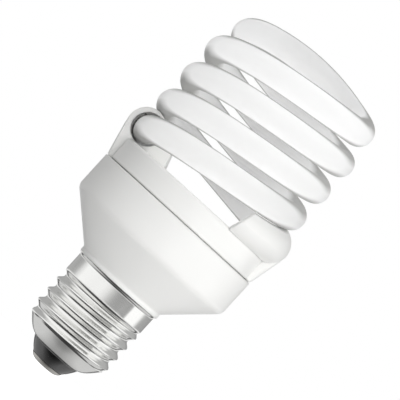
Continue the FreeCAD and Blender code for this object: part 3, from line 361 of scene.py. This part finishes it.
# Screw cap: thin aluminium strip, drawn to a cup, rolled to the thread and nickel plated. Rolling
# leaves fine lines round the cap, here drawn further apart so that they show. The plating is a
# bright mirror, a little uneven, and painted shade darkens the thread's roots.
LINE_LENGTH = 16.667 * MM
LINE_SPACING = 0.25 * MM
LINE_HEIGHT = 0.01 * MM
TARNISH_SIZE = 6 * MM
ROOT_WIDTH = 1.2 * MM
ROOT_SHUT, ROOT_OPEN = 0.15, 0.55
nickel = new_material("rolled_nickel_plate")
coords = add_node(nickel, "ShaderNodeTexCoord")
stretched = add_node(nickel, "ShaderNodeMapping",
                     {"Scale": (1 / LINE_LENGTH, 1 / LINE_LENGTH, 1 / LINE_SPACING)},
                     {"Vector": coords.outputs["Object"]})
lines = add_node(nickel, "ShaderNodeTexNoise", {"Scale": 1.0, "Detail": 3.0},
                 {"Vector": stretched.outputs["Vector"]})
rolled = add_node(nickel, "ShaderNodeBump", {"Strength": 0.10, "Distance": LINE_HEIGHT},
                  {"Height": lines.outputs["Fac"]})
tarnish = add_node(nickel, "ShaderNodeTexNoise", {"Scale": 1 / TARNISH_SIZE, "Detail": 4.0},
                   {"Vector": coords.outputs["Object"]})
plate = add_node(nickel, "ShaderNodeMix",
                 {"data_type": "RGBA", MIX_FIRST: colour("#EDEDEB"), MIX_SECOND: colour("#F6F6F4")},
                 {MIX_SHARE: tarnish.outputs["Fac"]})
openness = add_node(nickel, "ShaderNodeAmbientOcclusion", {"samples": 8, "Distance": ROOT_WIDTH})
unshaded = add_node(nickel, "ShaderNodeMapRange", {"From Min": ROOT_SHUT, "From Max": ROOT_OPEN},
                 {"Value": openness.outputs["AO"]})
# Painted shade: a dark grey mixed into the plating in the thread's roots.
root_shaded = add_node(nickel, "ShaderNodeMix", {"data_type": "RGBA", MIX_FIRST: colour("#5A5A58")},
                 {MIX_SHARE: unshaded.outputs["Result"], MIX_SECOND: plate.outputs[MIX_RESULT]})
polish = add_node(nickel, "ShaderNodeMapRange", {"To Min": 0.08, "To Max": 0.18},
                  {"Value": tarnish.outputs["Fac"]})
metal = add_node(nickel, "ShaderNodeBsdfPrincipled", {"Metallic": 1.0},
                 {"Base Color": root_shaded.outputs[MIX_RESULT], "Roughness": polish.outputs["Result"],
                  "Normal": rolled.outputs["Normal"]})
add_node(nickel, "ShaderNodeOutputMaterial", links={"Surface": metal.outputs["BSDF"]})
wear(nodes["screw_shell"], nickel)


# Cap insulator: black glass, poured hot between the shell and the contact and left as it set,
# so it is glossy with faint ripples.
RIPPLE_SIZE = 3 * MM
RIPPLE_HEIGHT = 0.05 * MM
black_glass = new_material("poured_black_glass")
coords = add_node(black_glass, "ShaderNodeTexCoord")
ripples = add_node(black_glass, "ShaderNodeTexNoise", {"Scale": 1 / RIPPLE_SIZE, "Detail": 1.0},
                   {"Vector": coords.outputs["Object"]})
rippled = add_node(black_glass, "ShaderNodeBump", {"Strength": 0.3, "Distance": RIPPLE_HEIGHT},
                   {"Height": ripples.outputs["Fac"]})
set_glass = add_node(black_glass, "ShaderNodeBsdfPrincipled",
                     {"Base Color": colour("#0C0C0C"), "Roughness": 0.08, "IOR": 1.7,
                      "Specular IOR Level": 0.9},
                     {"Normal": rippled.outputs["Normal"]})
add_node(black_glass, "ShaderNodeOutputMaterial", links={"Surface": set_glass.outputs["BSDF"]})
wear(nodes["cap_insulator"], black_glass)


# Centre contact: pressed brass, tin plated, with a dull fill of solder that was melted in after
# the lead was threaded through. The board's pins, leads and solder joints are tinned alike.
DULL_SIZE = 1.5 * MM
tin = new_material("pressed_tin_plate")
coords = add_node(tin, "ShaderNodeTexCoord")
dull = add_node(tin, "ShaderNodeTexNoise", {"Scale": 1 / DULL_SIZE, "Detail": 3.0},
                {"Vector": coords.outputs["Object"]})
dullness = add_node(tin, "ShaderNodeMapRange", {"To Min": 0.22, "To Max": 0.42},
                    {"Value": dull.outputs["Fac"]})
pressed = add_node(tin, "ShaderNodeBsdfPrincipled",
                   {"Base Color": colour("#CFCDC8"), "Metallic": 1.0},
                   {"Roughness": dullness.outputs["Result"]})
add_node(tin, "ShaderNodeOutputMaterial", links={"Surface": pressed.outputs["BSDF"]})
for name in ("centre_contact", "contact_solder", "solder_joints", "wrap_pins", "electrode_leads",
             "contact_lead", "shell_lead"):
    wear(nodes[name], tin)


# Circuit board: layers of paper soaked in phenolic resin, pressed hard and punched to a disc.
# It is tan with a fibrous fleck and a dull sheen.
FIBRE_SIZE = 1.2 * MM
phenolic = new_material("pressed_phenolic_paper")
coords = add_node(phenolic, "ShaderNodeTexCoord")
fibres = add_node(phenolic, "ShaderNodeTexNoise",
                  {"Scale": 1 / FIBRE_SIZE, "Detail": 5.0, "Distortion": 0.6},
                  {"Vector": coords.outputs["Object"]})
flecked = add_node(phenolic, "ShaderNodeMix",
                   {"data_type": "RGBA", MIX_FIRST: colour("#B08A55"), MIX_SECOND: colour("#C9A56C")},
                   {MIX_SHARE: fibres.outputs["Fac"]})
resin = add_node(phenolic, "ShaderNodeBsdfPrincipled", {"Roughness": 0.45},
                 {"Base Color": flecked.outputs[MIX_RESULT]})
add_node(phenolic, "ShaderNodeOutputMaterial", links={"Surface": resin.outputs["BSDF"]})
wear(nodes["circuit_board"], phenolic)


# Parts on the board, bought in and soldered by their leads. Each has its kind's usual finish,
# given as two colours, roughness, metallic, the grain's size in millimetres and the nodes.
PART_FINISHES = [
    ("shrunk_black_sleeve", ("#26262A", "#303036"), 0.35, 0.0, 3.0, ("bulk_capacitor",)),
    ("moulded_black_rubber", ("#1A1A1A", "#242424"), 0.7, 0.0, 1.0, ("capacitor_bung",)),
    ("fired_ferrite", ("#3B3C3E", "#4A4B4D"), 0.55, 0.0, 0.6, ("choke_core", "driver_core")),
    ("moulded_black_nylon", ("#1E1E1E", "#272727"), 0.5, 0.0, 1.5, ("choke_bobbin",)),
    ("enamelled_copper", ("#9A4E25", "#B8642F"), 0.3, 0.9, 0.4, ("choke_winding", "driver_windings")),
    ("moulded_epoxy", ("#1C1C1D", "#262627"), 0.5, 0.0, 0.5,
     ("transistor_high", "transistor_low", "rectifier_diodes")),
    ("baked_lacquer", ("#BFA67C", "#CDB58C"), 0.4, 0.0, 0.8, ("base_resistors", "fuse_resistor")),
    ("small_orange_glass", ("#B5562A", "#C76A38"), 0.1, 0.0, 0.5, ("trigger_diode",)),
    ("dipped_brown_resin", ("#8A3B22", "#9C4A2E"), 0.2, 0.0, 1.2,
     ("resonance_capacitor", "coupling_capacitor")),
]
for name, (first, second), roughness, metallic, grain_size, part_names in PART_FINISHES:
    finish = new_material(name)
    coords = add_node(finish, "ShaderNodeTexCoord")
    speckle = add_node(finish, "ShaderNodeTexNoise", {"Scale": 1 / (grain_size * MM), "Detail": 3.0},
                       {"Vector": coords.outputs["Object"]})
    tone = add_node(finish, "ShaderNodeMix",
                    {"data_type": "RGBA", MIX_FIRST: colour(first), MIX_SECOND: colour(second)},
                    {MIX_SHARE: speckle.outputs["Fac"]})
    body = add_node(finish, "ShaderNodeBsdfPrincipled", {"Roughness": roughness, "Metallic": metallic},
                    {"Base Color": tone.outputs[MIX_RESULT]})
    add_node(finish, "ShaderNodeOutputMaterial", links={"Surface": body.outputs["BSDF"]})
    for part_name in part_names:
        wear(nodes[part_name], finish)


# Studio floor: a sheet of pale matt paper well below the lamp. The camera sees it white far off and
# a little darker near by, where it keeps the lamp's shadow.
FLOOR_DROP = 140
FLOOR_HALF = 1500
NEAR_FLOOR, FAR_FLOOR = 250 * MM, 700 * MM
NEAR_LIFT, NEAR_LIFT_THROUGH_TUBE = 0.38, 0.55
corners = ((-FLOOR_HALF, -FLOOR_HALF), (FLOOR_HALF, -FLOOR_HALF),
           (FLOOR_HALF, FLOOR_HALF), (-FLOOR_HALF, FLOOR_HALF))
floor = mesh_object("floor", [Vector((x, y, -FLOOR_DROP)) for x, y in corners], [(0, 1, 2, 3)],
                    smooth=False)
floor_paper = new_material("pale_studio_paper")
ray = add_node(floor_paper, "ShaderNodeLightPath")
paper = add_node(floor_paper, "ShaderNodeBsdfDiffuse", {"Color": colour("#E8E8E8")})
coords = add_node(floor_paper, "ShaderNodeTexCoord")
position = add_node(floor_paper, "ShaderNodeSeparateXYZ", links={0: coords.outputs["Object"]})
from_axis = add_node(floor_paper, "ShaderNodeVectorMath", {"operation": "LENGTH"},
                     {0: coords.outputs["Object"]})
near_lift = add_node(floor_paper, "ShaderNodeMapRange",
                     {"To Min": NEAR_LIFT_THROUGH_TUBE, "To Max": NEAR_LIFT},
                     {"Value": ray.outputs["Is Camera Ray"]})
lift_level = add_node(floor_paper, "ShaderNodeMapRange",
                      {"From Min": NEAR_FLOOR, "From Max": FAR_FLOOR, "To Max": 1.0},
                      {"Value": from_axis.outputs["Value"], "To Min": near_lift.outputs["Result"]})
lift = add_node(floor_paper, "ShaderNodeEmission", {"Color": colour("#FFFFFF")},
                {"Strength": lift_level.outputs["Result"]})
# The camera sees the lift, and in front of the lamp so does the light that the tube's powder passes.
front_half = add_node(floor_paper, "ShaderNodeMath", {"operation": "LESS_THAN", 1: 0.0},
                      {0: position.outputs["Y"]})
through_tube = add_node(floor_paper, "ShaderNodeMath", {"operation": "MULTIPLY"},
                        {0: front_half.outputs[0], 1: ray.outputs["Is Transmission Ray"]})
sees_lift = add_node(floor_paper, "ShaderNodeMath", {"operation": "MAXIMUM"},
                     {0: ray.outputs["Is Camera Ray"], 1: through_tube.outputs[0]})
seen_lift = add_node(floor_paper, "ShaderNodeMixShader",
                     links={0: sees_lift.outputs[0], 2: lift.outputs[0]})
lifted_paper = add_node(floor_paper, "ShaderNodeAddShader",
                        links={0: paper.outputs[0], 1: seen_lift.outputs[0]})

# What metal and glass mirror of the floor: a pale card behind the lamp, greyer along its middle,
# with dark paper in front of it and beyond it, and a pale distance.
MIDDLE, BESIDE, MIDDLE_LEVEL, BESIDE_LEVEL = 15 * MM, 85 * MM, 0.36, 0.65
CARD_FRONT, CARD_REAR, CARD_END = -55 * MM, 360 * MM, 440 * MM
DARK_PAPER = 0.12
DISTANCE_STARTS, DISTANCE_FULL, DISTANCE_LEVEL = 520 * MM, 700 * MM, 0.85
aside = add_node(floor_paper, "ShaderNodeMath", {"operation": "ABSOLUTE"},
                 {0: position.outputs["X"]})
card = add_node(floor_paper, "ShaderNodeMapRange",
                {"From Min": MIDDLE, "From Max": BESIDE,
                 "To Min": MIDDLE_LEVEL, "To Max": BESIDE_LEVEL},
                {"Value": aside.outputs[0]})
behind_front = add_node(floor_paper, "ShaderNodeMapRange",
                        {"From Min": CARD_FRONT, "From Max": 0, "To Min": DARK_PAPER, "To Max": 1.0},
                        {"Value": position.outputs["Y"]})
before_end = add_node(floor_paper, "ShaderNodeMapRange",
                      {"From Min": CARD_REAR, "From Max": CARD_END,
                       "To Min": 1.0, "To Max": DARK_PAPER},
                      {"Value": from_axis.outputs["Value"]})
on_card = add_node(floor_paper, "ShaderNodeMath", {"operation": "MINIMUM"},
                   {0: behind_front.outputs["Result"], 1: before_end.outputs["Result"]})
card_level = add_node(floor_paper, "ShaderNodeMath", {"operation": "MULTIPLY"},
                      {0: card.outputs["Result"], 1: on_card.outputs[0]})
distant = add_node(floor_paper, "ShaderNodeMapRange",
                   {"From Min": DISTANCE_STARTS, "From Max": DISTANCE_FULL,
                    "To Min": 0.0, "To Max": DISTANCE_LEVEL},
                   {"Value": from_axis.outputs["Value"]})
mirrored_level = add_node(floor_paper, "ShaderNodeMath", {"operation": "MAXIMUM"},
                          {0: card_level.outputs[0], 1: distant.outputs["Result"]})
mirrored_floor = add_node(floor_paper, "ShaderNodeEmission", {"Color": colour("#FFFFFF")},
                          {"Strength": mirrored_level.outputs[0]})
floor_seen = add_node(floor_paper, "ShaderNodeMixShader",
                      links={0: ray.outputs["Is Glossy Ray"], 1: lifted_paper.outputs[0],
                             2: mirrored_floor.outputs[0]})
add_node(floor_paper, "ShaderNodeOutputMaterial", links={"Surface": floor_seen.outputs[0]})
wear(floor, floor_paper)


# Studio background: plain white to the camera, and soft even light on the lamp. Metal and glass
# mirror a ring of pale and grey cards near the horizon and wider cards above it, given as degrees
# round from the front to the right and level.
CARDS = [(-180, 0.30), (-150, 0.45), (-124, 0.40), (-110, 0.48), (-98, 0.80), (-84, 1.05),
         (-20, 1.0), (-7, 0.85), (5, 0.58), (16, 0.40), (28, 0.34), (40, 0.33), (64, 0.38),
         (68, 1.15), (100, 1.12), (106, 0.9), (114, 0.5), (124, 0.40), (150, 0.36), (180, 0.30)]
CARDS_ABOVE = [(-180, 0.4), (-110, 0.45), (-80, 1.0), (100, 1.0), (125, 0.5), (180, 0.4)]
RING_TOP, ABOVE_STARTS = 0.12, 0.35
SOFT_LIGHT = 0.39
world = bpy.data.worlds.new("studio")
bpy.context.scene.world = world
world.use_nodes = True
world.node_tree.nodes.clear()
coords = add_node(world, "ShaderNodeTexCoord")
direction = add_node(world, "ShaderNodeSeparateXYZ", links={0: coords.outputs["Generated"]})
front = add_node(world, "ShaderNodeMath", {"operation": "MULTIPLY", 1: -1.0},
                 {0: direction.outputs["Y"]})
bearing = add_node(world, "ShaderNodeMath", {"operation": "ARCTAN2"},
                   {0: direction.outputs["X"], 1: front.outputs[0]})
round_share = add_node(world, "ShaderNodeMapRange", {"From Min": -math.pi, "From Max": math.pi},
                       {"Value": bearing.outputs[0]})
ring_of_cards = add_node(world, "ShaderNodeValToRGB", links={"Fac": round_share.outputs["Result"]})
cards_above = add_node(world, "ShaderNodeValToRGB", links={"Fac": round_share.outputs["Result"]})
for ramp, levels in ((ring_of_cards, CARDS), (cards_above, CARDS_ABOVE)):
    stops = ramp.color_ramp.elements
    # A new ramp has two stops: the first is kept for the first card, the last one goes.
    stops.remove(stops[-1])
    stops[0].position = 0
    for degrees, level in levels:
        stop = stops[0] if degrees == levels[0][0] else stops.new((degrees + 180) / 360)
        stop.color = (level, level, level, 1)
above = add_node(world, "ShaderNodeMapRange", {"From Min": RING_TOP, "From Max": ABOVE_STARTS},
                 {"Value": direction.outputs["Z"]})
mirrored_cards = add_node(world, "ShaderNodeMix", {"data_type": "RGBA"},
                          {MIX_SHARE: above.outputs["Result"],
                           MIX_FIRST: ring_of_cards.outputs["Color"],
                           MIX_SECOND: cards_above.outputs["Color"]})
cards = add_node(world, "ShaderNodeBackground", {"Strength": 1.0},
                 {"Color": mirrored_cards.outputs[MIX_RESULT]})

# The tube's powder takes its light from the front, the sides and overhead, and little from behind,
# so that the strands at the back stay darker than those in front.
REAR_STARTS, REAR_FULL = math.radians(102), math.radians(125)
OVERHEAD_STARTS, OVERHEAD_FULL, OVERHEAD_LEVEL = 0.5, 0.8, 0.75
sideways = add_node(world, "ShaderNodeMath", {"operation": "ABSOLUTE"}, {0: bearing.outputs[0]})
not_rear = add_node(world, "ShaderNodeMapRange",
                    {"From Min": REAR_STARTS, "From Max": REAR_FULL, "To Min": 1.0, "To Max": 0.0},
                    {"Value": sideways.outputs[0]})
overhead = add_node(world, "ShaderNodeMapRange",
                    {"From Min": OVERHEAD_STARTS, "From Max": OVERHEAD_FULL,
                     "To Max": OVERHEAD_LEVEL},
                    {"Value": direction.outputs["Z"]})
tube_light_level = add_node(world, "ShaderNodeMath", {"operation": "MAXIMUM"},
                            {0: not_rear.outputs["Result"], 1: overhead.outputs["Result"]})
tube_light = add_node(world, "ShaderNodeBackground", {"Color": colour("#FFFFFF")},
                      {"Strength": tube_light_level.outputs[0]})
ray = add_node(world, "ShaderNodeLightPath")
soft = add_node(world, "ShaderNodeBackground", {"Color": colour("#FFFFFF"), "Strength": SOFT_LIGHT})
white = add_node(world, "ShaderNodeBackground", {"Color": colour("#FFFFFF"), "Strength": 1.0})
with_cards = add_node(world, "ShaderNodeMixShader",
                      links={0: ray.outputs["Is Glossy Ray"], 1: soft.outputs[0],
                             2: cards.outputs[0]})
with_tube_light = add_node(world, "ShaderNodeMixShader",
                           links={0: ray.outputs["Is Transmission Ray"], 1: with_cards.outputs[0],
                                  2: tube_light.outputs[0]})
with_white = add_node(world, "ShaderNodeMixShader",
                      links={0: ray.outputs["Is Camera Ray"], 1: with_tube_light.outputs[0],
                             2: white.outputs[0]})
add_node(world, "ShaderNodeOutputWorld", links={"Surface": with_white.outputs[0]})


# Softboxes: four square lamps aimed at the foot of the tube. The strongest stands in front to the
# right, one hangs high to the left, and two weak ones light the right side and the back. Each is
# given as degrees round from the front to the right, degrees up from level, and watts.
SOFTBOX_AIM = Vector((0, 0, 60))
SOFTBOX_DISTANCE = 900
SOFTBOX_SIZE = 600
SOFTBOXES = [
    ("front_softbox", 29, 3, 4.9),
    ("side_softbox", 85, 5, 0.8),
    ("top_softbox", -60, 72, 1.8),
    ("back_softbox", 170, 12, 0.8),
]
for name, bearing_degrees, rise_degrees, watts in SOFTBOXES:
    around = math.radians(bearing_degrees)
    up = math.radians(rise_degrees)
    away = Vector((math.sin(around) * math.cos(up), -math.cos(around) * math.cos(up), math.sin(up)))
    light = bpy.data.objects.new(name, bpy.data.lights.new(name, "AREA"))
    bpy.context.scene.collection.objects.link(light)
    light.data.shape = "SQUARE"
    light.data.size = SOFTBOX_SIZE * MM
    light.data.energy = watts
    light.location = (SOFTBOX_AIM + away * SOFTBOX_DISTANCE) * MM
    light.rotation_euler = away.to_track_quat("Z", "Y").to_euler()
    light.visible_glossy = False
